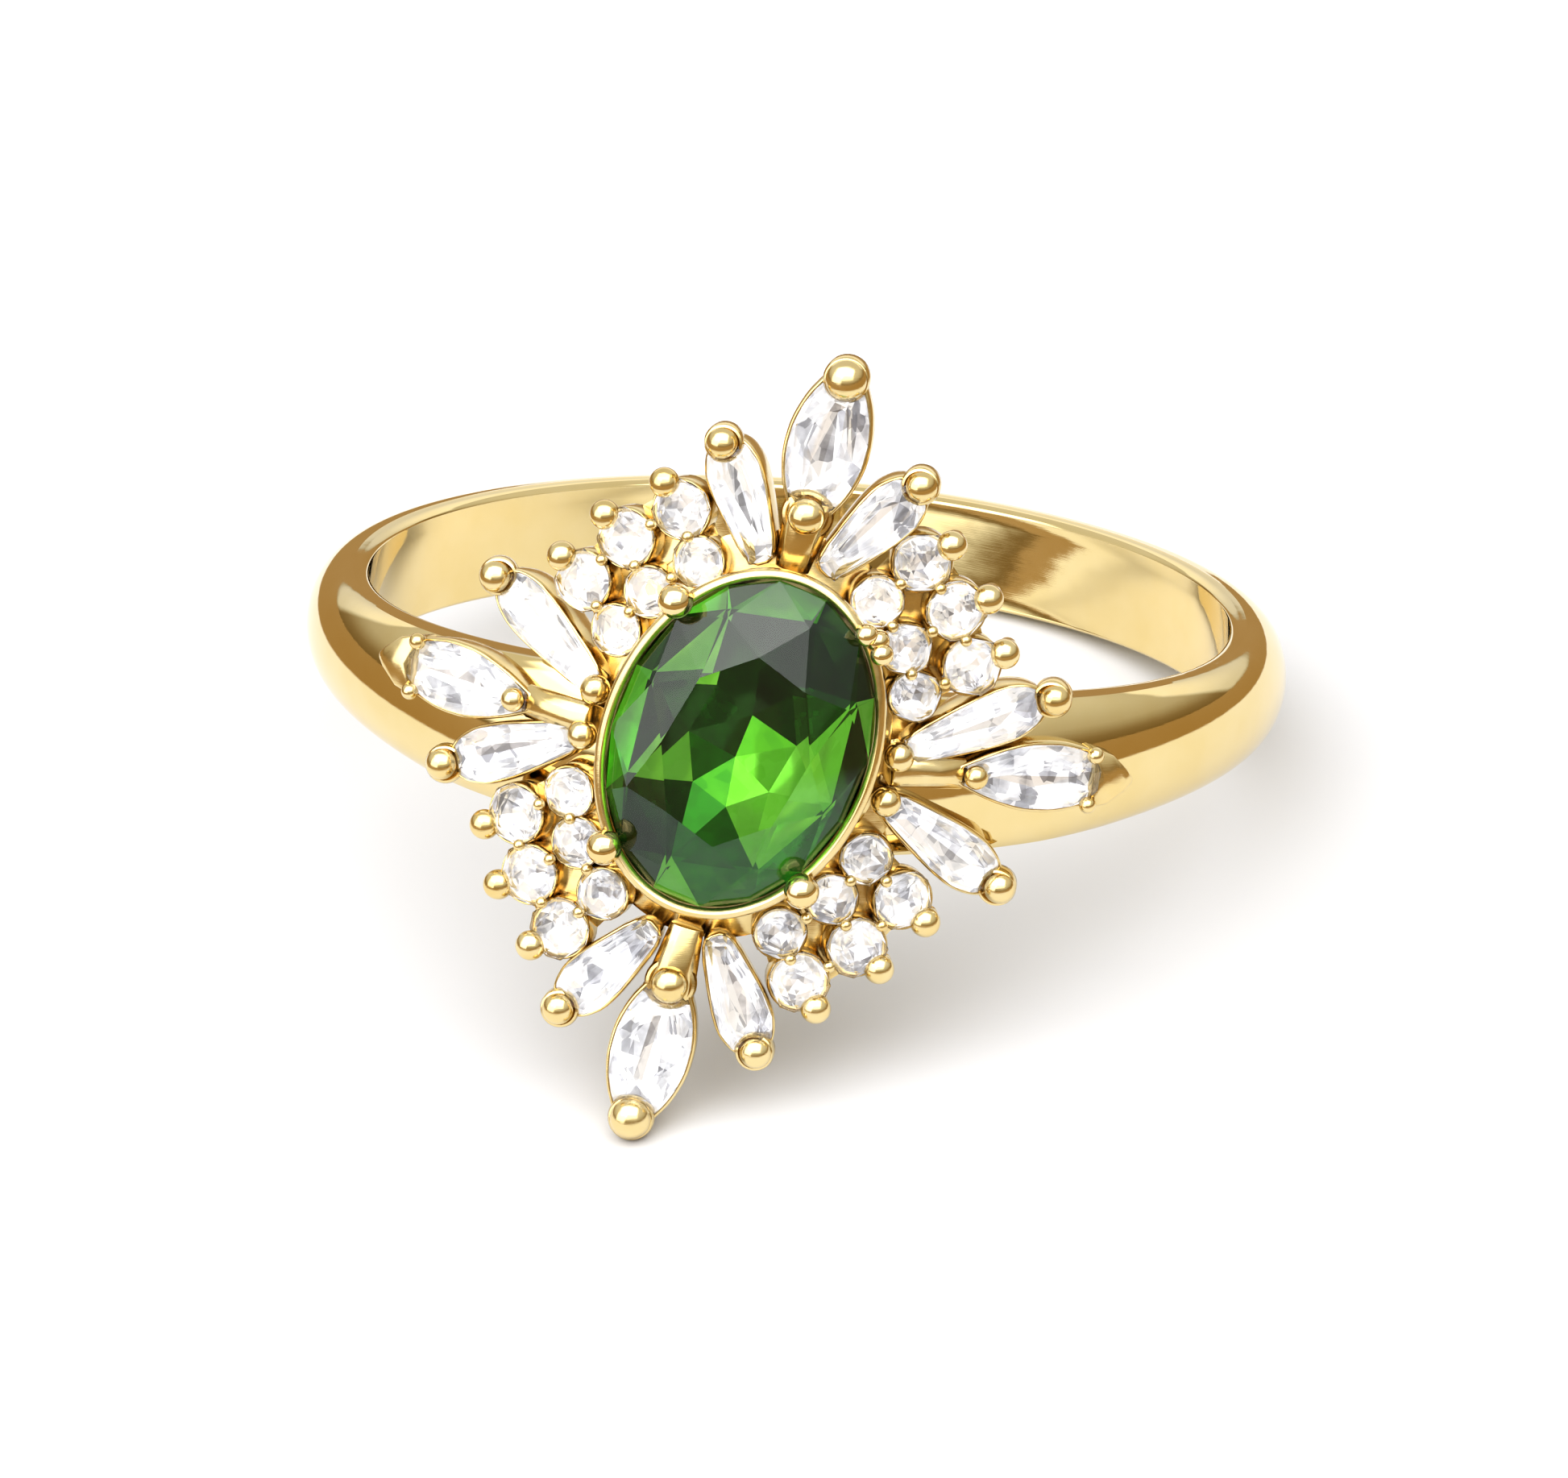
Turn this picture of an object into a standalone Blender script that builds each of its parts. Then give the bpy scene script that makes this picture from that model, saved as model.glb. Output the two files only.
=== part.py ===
"""Cocktail ring: an oval green stone in a starburst of clear stones, on a yellow gold band.

Everything is made in the ring's own frame, in millimetres: x runs across the finger, y along
it, and z from the middle of the bore out to the head. The empty "ring" then lays the whole
ring down the way it rests on a table, leaning back on its lowest claw and the rear of the band.
"""

import math

import bmesh
import bpy
from mathutils import Euler, Matrix, Vector

MM = 0.001
GAP = 0.02  # between soldered or seated faces: real ones touch, and 0.3 mm would be a hole here

# Band
BORE_R = 8.65
BAND_R = 9.85  # outer radius, at the crest of the dome
BORE_HALF = 0.97  # half width of the bore's flat part
SIDE_HALF = 1.1  # half width of the band at its sides, from the back to beside the head
SIDE_LOW_R = 8.9  # the flat side face runs between these two radii
SIDE_HIGH_R = 9.2
EDGE_ROUND = 0.08  # the corner between bore and side, taken off in one step
SHOULDER_GROWTH = 0.5  # how much wider the band is at the head than at the back
BAND_END_DEG = 17.0  # the band stops this far from the top, where the gallery closes the bore
BAND_STEPS = 64

# Head: its upper surface is HEAD_Z above the bore's middle and droops sideways with the finger.
# It is soldered on a little off the band's middle, and turned and tipped against it.
HEAD_Z = 10.25
HEAD_NORTH = 0.6
HEAD_TIP = math.radians(-1.9)
HEAD_DROOP = 0.054
NS_TWIST = math.radians(11.8)  # the north-south arms turn further than the east-west ones
EW_TWIST = math.radians(7.2)

# Centre stone and the metal that holds it
OVAL_HALF = (3.41, 2.5)
OVAL_TURN = math.radians(17.8)
OVAL_PLACE = (0.05, 0.2, 0.3)  # on the head: its girdle stands above the clear stones
OVAL_CROWN = 0.75
OVAL_PAVILION = 1.6
COLLET_WALL = 0.22
COLLET_FOOT = (2.97, 2.15)
COLLET_DEPTH = 1.0
COLLET_HOLE = (2.35, 1.55)
GALLERY_HALF = (3.15, 2.8)
GALLERY_HOLE = (2.25, 1.45)
CENTRE_CLAW = (1.97, 2.57)
CENTRE_CLAW_FOOT = 0.8  # the claw's foot stands this fraction as far out as its tip

# Clear stones: (length, width)
MARQUISE_NS = (2.71, 1.53)
MARQUISE_EW = (2.81, 1.33)
BAGUETTE_NS = (2.45, 1.07)
BAGUETTE_EW = (2.86, 1.07)
OUTER_ROUND_D = 1.12
INNER_ROUND_D = 0.97
CROWN = 0.2
PAVILION = 0.42
SHOULDER_PAVILION = 0.28  # the east and west stones are shallow, to clear the band below them
SEAT_WALL = 0.12
SEAT_DEPTH = 0.85
PLATE_DEPTH = 0.6
DRILL_R = 0.3

# Places on the head before it twists: u across the finger, v along it
NS_CLAWS = (4.89, 7.71)
EW_CLAWS = (4.51, 7.09)
EW_ARM_SLOPE = 0.054  # these two arms turn back a little, to lie along the band
NS_TAIL = 3.72  # the seat's narrow end, beside the collet
EW_TAIL = 2.92
BAGUETTE_NS_ENDS = ((0.6, 3.79), (1.95, 5.91))
BAGUETTE_EW_ENDS = ((2.99, 0.47), (5.53, 1.97))
OUTER_ROUNDS = ((2.40, 4.38), (3.29, 3.52), (3.88, 2.45))
INNER_ROUNDS = ((1.78, 3.47), (2.56, 2.62), (2.98, 1.70))
ROUND_CLAWS = ((2.82, 4.84), (3.77, 3.87), (4.36, 2.81))

# Claws: radius of the bead on top
LARGE_BEAD = 0.41
MEDIUM_BEAD = 0.37
SMALL_BEAD = 0.3
BEAD_LIFT = 0.12  # of a bead's middle above the head's surface

# Rest on the table
LEAN_BACK = math.radians(16.83)
LEAN_SIDE = math.radians(6.1)

QUADRANTS = {"ne": (1, 1), "nw": (-1, 1), "sw": (-1, -1), "se": (1, -1)}
BAGUETTE_NAMES = {
    "ne": ("nne", "ene"),
    "nw": ("nnw", "wnw"),
    "sw": ("ssw", "wsw"),
    "se": ("sse", "ese"),
}

for old in list(bpy.data.objects):
    bpy.data.objects.remove(old)

parts = bpy.data.collections.new("cocktail_ring")
cutters = bpy.data.collections.new("cutters")
for new in (parts, cutters):
    bpy.context.scene.collection.children.link(new)

ring = bpy.data.objects.new("ring", None)
parts.objects.link(ring)


def principled(name, colour, roughness, metallic=0.0, transmission=0.0, ior=1.5):
    material = bpy.data.materials.new(name)
    material.use_nodes = True
    shader = material.node_tree.nodes["Principled BSDF"]
    shader.inputs["Base Color"].default_value = (*colour, 1.0)
    shader.inputs["Roughness"].default_value = roughness
    shader.inputs["Metallic"].default_value = metallic
    shader.inputs["Transmission Weight"].default_value = transmission
    shader.inputs["IOR"].default_value = ior
    material.diffuse_color = (*colour, 1.0)
    return material


GOLD = principled("yellow_gold", (0.95, 0.66, 0.25), 0.12, metallic=1.0)
GREEN_STONE = principled("green_stone", (0.03, 0.42, 0.05), 0.02, transmission=0.8, ior=1.62)
CLEAR_STONE = principled("clear_stone", (0.93, 0.93, 0.96), 0.02, transmission=0.8, ior=2.15)


# --- places on the head ---------------------------------------------------------------------


HEAD = Matrix.Translation((0, HEAD_NORTH, HEAD_Z)) @ Matrix.Rotation(HEAD_TIP, 4, "X")


def head_point(u, v):
    """A point on the head's upper surface, after the head's twist."""
    x = u * math.cos(EW_TWIST) + v * math.sin(NS_TWIST)
    y = v * math.cos(NS_TWIST) - u * math.sin(EW_TWIST)
    return HEAD @ Vector((x, y, -HEAD_DROOP * u * u))


def head_normal(u):
    slope = 2 * HEAD_DROOP * u
    normal = Vector((slope * math.cos(EW_TWIST), -slope * math.sin(EW_TWIST), 1)).normalized()
    return HEAD.to_3x3() @ normal


def head_frame(inner, outer):
    """Local x from inner to outer, z off the head, with its origin midway between the two."""
    start, end = head_point(*inner), head_point(*outer)
    along = (end - start).normalized()
    up = head_normal((inner[0] + outer[0]) / 2)
    across = up.cross(along).normalized()
    up = along.cross(across)
    frame = Matrix((along, across, up)).transposed().to_4x4()
    frame.translation = (start + end) / 2
    return frame


def spot_frame(u, v):
    """An upright frame at one place on the head, for a round stone."""
    return head_frame((u - 0.01, v), (u + 0.01, v))


OVAL_UPRIGHT = HEAD @ Matrix.Translation(OVAL_PLACE)
OVAL_FRAME = OVAL_UPRIGHT @ Matrix.Rotation(math.radians(90) - OVAL_TURN, 4, "Z")


# --- outlines, as lists of (x, y) ----------------------------------------------------------


def ellipse(half_x, half_y, count):
    turns = [2 * math.pi * i / count for i in range(count)]
    return [(half_x * math.cos(a), half_y * math.sin(a)) for a in turns]


def marquise(length, width, grow=0.0, steps=6):
    """Two bowed sides that meet in slightly blunted tips."""
    half, bow, blunt = length / 2 + grow, width / 2 + grow, 0.1
    side = []
    for i in range(steps + 1):
        x = -math.cos(math.pi * i / steps)
        side.append((half * x, bow * (blunt + (1 - blunt) * (1 - x * x))))
    return side + [(x, -y) for x, y in reversed(side)]


def baguette(length, width, grow=0.0):
    """A tapered stick: narrow at its inner end, rounded off at its outer one."""
    half = width / 2
    side = (
        (-0.5 * length - grow, 0.48 * half + grow),
        (0.05 * length, 0.95 * half + grow),
        (0.27 * length, half + grow),
        (0.42 * length, 0.78 * half + grow),
        (0.5 * length + grow, 0.4 * half + grow),
    )
    return list(side) + [(x, -y) for x, y in reversed(side)]


def at_height(outline, z, scale=1.0):
    return [Vector((scale * x, scale * y, z)) for x, y in outline]


# --- solids --------------------------------------------------------------------------------


def hull(points):
    bm = bmesh.new()
    for point in points:
        bm.verts.new(point)
    found = bmesh.ops.convex_hull(bm, input=bm.verts)
    loose = {v for v in found["geom_interior"] if isinstance(v, bmesh.types.BMVert)}
    bmesh.ops.delete(bm, geom=list(loose), context="VERTS")
    bmesh.ops.recalc_face_normals(bm, faces=bm.faces)
    return bm


def inflate(bm, gap=GAP):
    """Grows a convex solid about its middle, until its nearest face has moved out by gap."""
    middle = sum((v.co for v in bm.verts), Vector()) / len(bm.verts)
    nearest = min(f.normal.dot(f.verts[0].co - middle) for f in bm.faces)
    scale = 1 + gap / nearest
    for vert in bm.verts:
        vert.co = middle + (vert.co - middle) * scale
    return bm


def join(solids):
    """Several bmeshes, each with its own matrix, as one."""
    joined = bmesh.new()
    for bm, matrix in solids:
        bm.transform(matrix)
        mesh = bpy.data.meshes.new("step")
        bm.to_mesh(mesh)
        joined.from_mesh(mesh)
        bm.free()
        bpy.data.meshes.remove(mesh)
    return joined


def make(name, bm, frame, material=None, smooth=False):
    """An object under the ring: a part if it has a material, and otherwise a cutter."""
    bm.transform(Matrix.Scale(MM, 4))
    mesh = bpy.data.meshes.new(name)
    bm.to_mesh(mesh)
    bm.free()
    if smooth:
        mesh.shade_smooth()
        mesh.set_sharp_from_angle(angle=math.radians(35))
    obj = bpy.data.objects.new(name, mesh)
    obj.parent = ring
    place = frame.copy()
    place.translation = frame.translation * MM
    obj.matrix_local = place
    if material is None:
        cutters.objects.link(obj)
        obj.hide_render = True
        obj.display_type = "WIRE"
    else:
        mesh.materials.append(material)
        parts.objects.link(obj)
    return obj


def boolean(obj, others, operation="DIFFERENCE"):
    """One Boolean against several solids at once, which is exact where they overlap each other."""
    name = f"{operation.lower()}_{obj.name}"
    group = bpy.data.collections.new(name)
    cutters.children.link(group)
    for other in others:
        group.objects.link(other)
    modifier = obj.modifiers.new(name, "BOOLEAN")
    modifier.operation = operation
    modifier.operand_type = "COLLECTION"
    modifier.collection = group


def gem(outline, table, crown, pavilion, keel=0.0, girdle=0.04):
    """A cut stone: its outline as girdle, a flat table above, and a culet or keel below."""
    points = at_height(outline, girdle / 2) + at_height(outline, -girdle / 2)
    points += at_height(outline[::2] if len(outline) > 12 else outline, crown, table)
    points += [Vector((keel, 0, -pavilion)), Vector((-keel, 0, -pavilion))][: 2 if keel else 1]
    return hull(points)


def bead_claw(foot, tip, post_r, bead_r, sides=8):
    """A claw from its foot up to the round bead that is pressed over the stone."""
    bm = bmesh.new()
    bmesh.ops.create_icosphere(bm, subdivisions=1, radius=bead_r, matrix=Matrix.Translation(tip))
    points = [v.co.copy() for v in bm.verts]
    bm.free()
    points += [Vector(foot) + Vector((x, y, 0)) for x, y in ellipse(post_r, post_r, sides)]
    return hull(points)


def head_claw(u, v, bead_r, depth=SEAT_DEPTH):
    """A claw that stands on the head and leans with its surface, down to just inside its seat."""
    tip = head_point(u, v) + head_normal(u) * BEAD_LIFT
    foot = head_point(u, v) - head_normal(u) * (depth - 0.15)
    return bead_claw(foot, tip, 0.6 * bead_r, bead_r)


# --- band, gallery and collet ---------------------------------------------------------------


def band_profile(grow=0.0):
    """The section of the band as (radius, y): flat bore, short side faces, domed outside."""
    dome_steps = 4
    half = [
        (BORE_R - grow, BORE_HALF),
        (BORE_R + EDGE_ROUND - grow, SIDE_HALF - EDGE_ROUND / 2 + grow),
        (SIDE_LOW_R, SIDE_HALF + grow),
        (SIDE_HIGH_R, SIDE_HALF + grow),
    ]
    for i in range(1, dome_steps + 1):
        angle = math.pi / 2 * i / dome_steps
        radius = SIDE_HIGH_R + (BAND_R - SIDE_HIGH_R + grow) * math.sin(angle)
        half.append((radius, (SIDE_HALF + grow) * math.cos(angle)))
    return half + [(r, -y) for r, y in reversed(half[:-1])]


def widening(angle):
    """How much wider the band is at this angle from the top: it grows in the front half only."""
    front = max(0.0, math.cos(angle))
    return 1 + SHOULDER_GROWTH * front * front


def band(grow=0.0):
    profile = band_profile(grow)
    end = math.radians(BAND_END_DEG) - grow / BORE_R
    bm = bmesh.new()
    sections = []
    for i in range(BAND_STEPS + 1):
        angle = end + (2 * math.pi - 2 * end) * i / BAND_STEPS
        wide = widening(angle)
        ring_points = [(r * math.sin(angle), wide * y, r * math.cos(angle)) for r, y in profile]
        sections.append([bm.verts.new(p) for p in ring_points])
    count = len(profile)
    for one, two in zip(sections, sections[1:]):
        for j in range(count):
            k = (j + 1) % count
            bm.faces.new((one[j], one[k], two[k], two[j]))
    bm.faces.new(sections[0])
    bm.faces.new(sections[-1])
    bmesh.ops.recalc_face_normals(bm, faces=bm.faces)
    return bm


def collet_outer(grow=0.0):
    top = ellipse(OVAL_HALF[0] + COLLET_WALL + grow, OVAL_HALF[1] + COLLET_WALL + grow, 32)
    foot = ellipse(COLLET_FOOT[0] + grow, COLLET_FOOT[1] + grow, 32)
    return hull(at_height(top, 0.04 + grow) + at_height(foot, -COLLET_DEPTH - grow))


def oval_stone():
    return gem(ellipse(*OVAL_HALF, 32), 0.6, OVAL_CROWN, OVAL_PAVILION)


def centre_claw(quadrant):
    """Its foot stands inside the collet, and its bead 0.2 above the girdle."""
    su, sv = QUADRANTS[quadrant]
    across, along = su * CENTRE_CLAW[0], sv * CENTRE_CLAW[1]
    x = across * math.cos(EW_TWIST) + along * math.sin(NS_TWIST)
    y = along * math.cos(NS_TWIST) - across * math.sin(EW_TWIST)
    foot = (x * CENTRE_CLAW_FOOT, y * CENTRE_CLAW_FOOT, 0.1 - COLLET_DEPTH)
    return bead_claw(foot, (x, y, 0.2), 0.16, MEDIUM_BEAD)


AT_REST = Matrix.Identity(4)

band_cutter = make("band_cutter", band(GAP), AT_REST)
shank = make("shank", band(), AT_REST, GOLD, smooth=True)

collet_cutter = make("collet_cutter", collet_outer(GAP), OVAL_FRAME)
oval_cutter = make("oval_cutter", inflate(oval_stone()), OVAL_FRAME)
make("centre_stone", oval_stone(), OVAL_FRAME, GREEN_STONE)

claw_cutters = []
for quadrant in QUADRANTS:
    claw_cutter = make(f"claw_cutter_{quadrant}", inflate(centre_claw(quadrant)), OVAL_UPRIGHT)
    claw_cutters.append(claw_cutter)
    claw = make(f"centre_claw_{quadrant}", centre_claw(quadrant), OVAL_UPRIGHT, GOLD, smooth=True)
    boolean(claw, [oval_cutter])

collet = make("centre_collet", collet_outer(), OVAL_FRAME, GOLD, smooth=True)
collet_bore = make(
    "collet_bore",
    hull(at_height(ellipse(*COLLET_HOLE, 24), 0.5) + at_height(ellipse(*COLLET_HOLE, 24), -1.5)),
    OVAL_FRAME,
)
boolean(collet, [oval_cutter, collet_bore, *claw_cutters])


def gallery_block():
    rim = ellipse(*GALLERY_HALF, 32)
    top = -COLLET_DEPTH - GAP
    return hull(at_height(rim, top) + at_height(rim, top - 2.5))


bore_tool = bmesh.new()
bmesh.ops.create_cone(
    bore_tool, cap_ends=True, segments=72, radius1=BORE_R, radius2=BORE_R, depth=12,
    matrix=Matrix.Rotation(math.radians(90), 4, "X"),
)
gallery_bore = make("gallery_bore", bore_tool, AT_REST)
gallery_window = make(
    "gallery_window",
    hull(at_height(ellipse(*GALLERY_HOLE, 24), 0) + at_height(ellipse(*GALLERY_HOLE, 24), -3)),
    OVAL_FRAME,
)
gallery_cutter = make("gallery_cutter", inflate(gallery_block()), OVAL_FRAME)
gallery = make("gallery", gallery_block(), OVAL_FRAME, GOLD, smooth=True)
boolean(gallery, [gallery_bore, gallery_window, band_cutter])
core_cutters = (band_cutter, collet_cutter, gallery_cutter)  # what every seat is soldered to


# --- marquise stones and seats --------------------------------------------------------------


def petal(size, tail):
    """The seat around a marquise stone, with a narrow tail that runs back to the collet."""
    wall = marquise(*size, grow=SEAT_WALL)
    top = at_height(wall, 0.0) + [Vector((tail, y, -0.25)) for y in (-0.12, 0.12)]
    foot = at_height(wall, -SEAT_DEPTH, 0.72) + [Vector((tail, y, -SEAT_DEPTH)) for y in (-0.1, 0.1)]
    return hull(top + foot)


def slot(outline, scale):
    """A straight opening through a seat, under its stone."""
    return hull(at_height(outline, 0.1, scale) + at_height(outline, -1.2 * SEAT_DEPTH, scale))


marquise_cutters = {}
for name, (du, dv) in {"n": (0, 1), "e": (1, 0), "s": (0, -1), "w": (-1, 0)}.items():
    lengthwise = dv != 0
    size = MARQUISE_NS if lengthwise else MARQUISE_EW
    inner, outer = NS_CLAWS if lengthwise else EW_CLAWS
    tail_at = NS_TAIL if lengthwise else EW_TAIL
    inner, outer, tail = (
        (du * r, dv * r + du * EW_ARM_SLOPE * r) for r in (inner, outer, tail_at)
    )
    frame = head_frame(inner, outer)
    inward = frame.inverted() @ head_point(*tail)
    depth = PAVILION if lengthwise else SHOULDER_PAVILION
    stone = gem(marquise(*size), 0.6, CROWN, depth, keel=0.3 * size[0])
    stone_cutter = make(f"marquise_cutter_{name}", inflate(stone.copy()), frame)
    make(f"marquise_{name}", stone, frame, CLEAR_STONE)
    slot_cutter = make(f"marquise_slot_{name}", slot(marquise(*size), 0.5), frame)
    marquise_cutters[name] = make(
        f"petal_cutter_{name}", inflate(petal(size, inward.x)), frame
    )
    claws = [
        (head_claw(*outer, LARGE_BEAD), AT_REST),
        (head_claw(*inner, MEDIUM_BEAD), AT_REST),
    ]
    claw_solids = make(f"marquise_claws_{name}", join(claws), AT_REST)
    seat = make(f"marquise_seat_{name}", petal(size, inward.x), frame, GOLD, smooth=True)
    boolean(seat, [claw_solids], "UNION")
    boolean(seat, [stone_cutter, slot_cutter, *core_cutters])


# --- tapered baguettes and seats ------------------------------------------------------------


def stick_seat(size):
    wall = baguette(*size, grow=SEAT_WALL * 0.8)
    return hull(at_height(wall, 0.0) + at_height(wall, -SEAT_DEPTH, 0.75))


stick_cutters = {}
for quadrant, (su, sv) in QUADRANTS.items():
    kinds = zip(
        BAGUETTE_NAMES[quadrant],
        (BAGUETTE_NS_ENDS, BAGUETTE_EW_ENDS),
        (BAGUETTE_NS, BAGUETTE_EW),
        ("n" if sv > 0 else "s", "e" if su > 0 else "w"),
    )
    for name, (inner, outer), size, beside in kinds:
        inner = (su * inner[0], sv * inner[1])
        outer = (su * outer[0], sv * outer[1])
        frame = head_frame(inner, outer)
        depth = SHOULDER_PAVILION if size is BAGUETTE_EW else PAVILION
        stone = gem(baguette(*size), 0.6, CROWN, depth, keel=0.3 * size[0])
        stone_cutter = make(f"baguette_cutter_{name}", inflate(stone.copy()), frame)
        make(f"baguette_{name}", stone, frame, CLEAR_STONE)
        slot_cutter = make(f"baguette_slot_{name}", slot(baguette(*size), 0.45), frame)
        stick_cutters[name] = make(f"stick_cutter_{name}", inflate(stick_seat(size)), frame)
        claws = [(head_claw(*outer, MEDIUM_BEAD), AT_REST)]
        if size is BAGUETTE_EW:
            claws.append((head_claw(*inner, SMALL_BEAD), AT_REST))
        claw_solids = make(f"baguette_claws_{name}", join(claws), AT_REST)
        seat = make(f"baguette_seat_{name}", stick_seat(size), frame, GOLD, smooth=True)
        boolean(seat, [claw_solids], "UNION")
        neighbour = marquise_cutters[beside]
        boolean(seat, [stone_cutter, slot_cutter, neighbour, *core_cutters])


# --- round stones and the plates that carry them --------------------------------------------


def round_stone(diameter):
    scale = diameter / OUTER_ROUND_D
    return gem(ellipse(diameter / 2, diameter / 2, 12), 0.58, CROWN * scale, PAVILION * scale)


def plate(places):
    """One plate under six stones: the hull of a disc around each."""
    points = []
    for u, v, diameter in places:
        disc = ellipse(diameter / 2 + 0.07, diameter / 2 + 0.07, 12)
        frame = spot_frame(u, v)
        points += [frame @ p for p in at_height(disc, 0.0) + at_height(disc, -PLATE_DEPTH, 0.85)]
    return hull(points)


for quadrant, (su, sv) in QUADRANTS.items():
    places = [(su * u, sv * v, OUTER_ROUND_D) for u, v in OUTER_ROUNDS]
    places += [(su * u, sv * v, INNER_ROUND_D) for u, v in INNER_ROUNDS]
    stone_cutters, drills = [], []
    for number, (u, v, diameter) in enumerate(places, 1):
        frame = spot_frame(u, v)
        stone = round_stone(diameter)
        cutter_name = f"round_cutter_{quadrant}_{number}"
        stone_cutters.append(make(cutter_name, inflate(stone.copy()), frame))
        make(f"round_stone_{quadrant}_{number}", stone, frame, CLEAR_STONE)
        drill = ellipse(DRILL_R, DRILL_R, 6)
        drills.append((hull(at_height(drill, 0) + at_height(drill, -1.6 * PLATE_DEPTH)), frame))
    claws = [
        (head_claw(su * u, sv * v, SMALL_BEAD, PLATE_DEPTH), AT_REST) for u, v in ROUND_CLAWS
    ]
    claw_solids = make(f"round_claws_{quadrant}", join(claws), AT_REST)
    drill_cutter = make(f"drill_cutter_{quadrant}", join(drills), AT_REST)
    base = make(f"round_plate_{quadrant}", plate(places), AT_REST, GOLD, smooth=True)
    boolean(base, [claw_solids], "UNION")
    beside = [stick_cutters[name] for name in BAGUETTE_NAMES[quadrant]]
    claw_beside = claw_cutters[list(QUADRANTS).index(quadrant)]
    boolean(base, [*stone_cutters, drill_cutter, *beside, claw_beside, *core_cutters])


# --- rest on the table ----------------------------------------------------------------------


def lay_down():
    """Leans the ring as it rests, and puts the middle of its lowest level at the origin."""
    ring.rotation_euler = Euler((math.radians(90) - LEAN_BACK, LEAN_SIDE, 0))
    bpy.context.view_layer.update()
    graph = bpy.context.evaluated_depsgraph_get()
    low, high = Vector((1, 1, 1)), Vector((-1, -1, -1))
    for obj in parts.objects:
        if obj.type != "MESH":
            continue
        evaluated = obj.evaluated_get(graph)
        for vert in evaluated.data.vertices:
            place = evaluated.matrix_world @ vert.co
            low = Vector(map(min, low, place))
            high = Vector(map(max, high, place))
    ring.location = (-(low.x + high.x) / 2, -(low.y + high.y) / 2, -low.z)


lay_down()
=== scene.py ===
"""Cocktail ring on a white table: the fine gold work, the cut stones, the studio and the camera.

Shapes are made in millimetres in the ring's own frame, as in the CAD: x runs across the finger,
y along it, and z from the middle of the bore out to the head. RING lays them on the table.
"""

import math
import random

import bmesh
import bpy
from mathutils import Matrix, Vector


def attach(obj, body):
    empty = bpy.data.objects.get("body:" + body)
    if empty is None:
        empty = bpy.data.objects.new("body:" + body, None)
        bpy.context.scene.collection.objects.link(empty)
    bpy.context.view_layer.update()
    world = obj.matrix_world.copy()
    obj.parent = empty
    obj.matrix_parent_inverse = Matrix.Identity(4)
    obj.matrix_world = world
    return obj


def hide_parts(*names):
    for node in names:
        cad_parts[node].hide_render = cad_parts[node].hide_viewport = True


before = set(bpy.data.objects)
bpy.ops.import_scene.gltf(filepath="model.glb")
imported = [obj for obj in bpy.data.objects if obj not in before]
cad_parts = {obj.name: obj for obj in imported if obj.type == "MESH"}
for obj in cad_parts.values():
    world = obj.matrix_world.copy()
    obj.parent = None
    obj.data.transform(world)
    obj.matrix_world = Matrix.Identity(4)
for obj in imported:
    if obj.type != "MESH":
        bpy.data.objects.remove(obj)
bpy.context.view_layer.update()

MM = 0.001
random.seed(7)

# --- sizes shared with the CAD, in millimetres -----------------------------------------------

BORE_R = 8.65
BAND_R = 9.85
BORE_HALF = 0.97
SIDE_HALF = 1.1
DOME_LOW_R = 9.05
SHOULDER_GROWTH = 0.5
BAND_END = math.radians(17)

HEAD_Z = 10.25
HEAD_NORTH = 0.6
HEAD_TIP = math.radians(-1.9)
HEAD_DROOP = 0.054
NS_TWIST = math.radians(11.8)
EW_TWIST = math.radians(7.2)

OVAL_HALF = (3.41, 2.5)
OVAL_TURN = math.radians(17.8)
OVAL_PLACE = (0.05, 0.2, 0.3)
COLLET_DEPTH = 1.0
GALLERY_HALF = (3.15, 2.8)
GALLERY_HOLE = (2.25, 1.45)
CENTRE_CLAW = (1.97, 2.57)

MARQUISE_NS = (2.71, 1.53)
MARQUISE_EW = (2.81, 1.33)
BAGUETTE_NS = (2.45, 1.07)
BAGUETTE_EW = (2.86, 1.07)
OUTER_ROUND_D = 1.12
INNER_ROUND_D = 0.97
CROWN = 0.2
PAVILION = 0.42
SHOULDER_PAVILION = 0.28  # the stones that lie over the band are shallow, to clear it
SEAT_DEPTH = 0.85
PLATE_DEPTH = 0.6

NS_CLAWS = (4.89, 7.71)
EW_CLAWS = (4.51, 7.09)
EW_ARM_SLOPE = 0.054
NS_TAIL = 3.72
EW_TAIL = 2.92
BAGUETTE_NS_ENDS = ((0.6, 3.79), (1.95, 5.91))
BAGUETTE_EW_ENDS = ((2.99, 0.47), (5.53, 1.97))
OUTER_ROUNDS = ((2.40, 4.38), (3.29, 3.52), (3.88, 2.45))
INNER_ROUNDS = ((1.78, 3.47), (2.56, 2.62), (2.98, 1.70))
ROUND_CLAWS = ((2.82, 4.84), (3.77, 3.87), (4.36, 2.81))
LARGE_BEAD = 0.41
MEDIUM_BEAD = 0.37
SMALL_BEAD = 0.3
BEAD_LIFT = 0.12

# --- sizes that only the visible pieces have -------------------------------------------------

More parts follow.
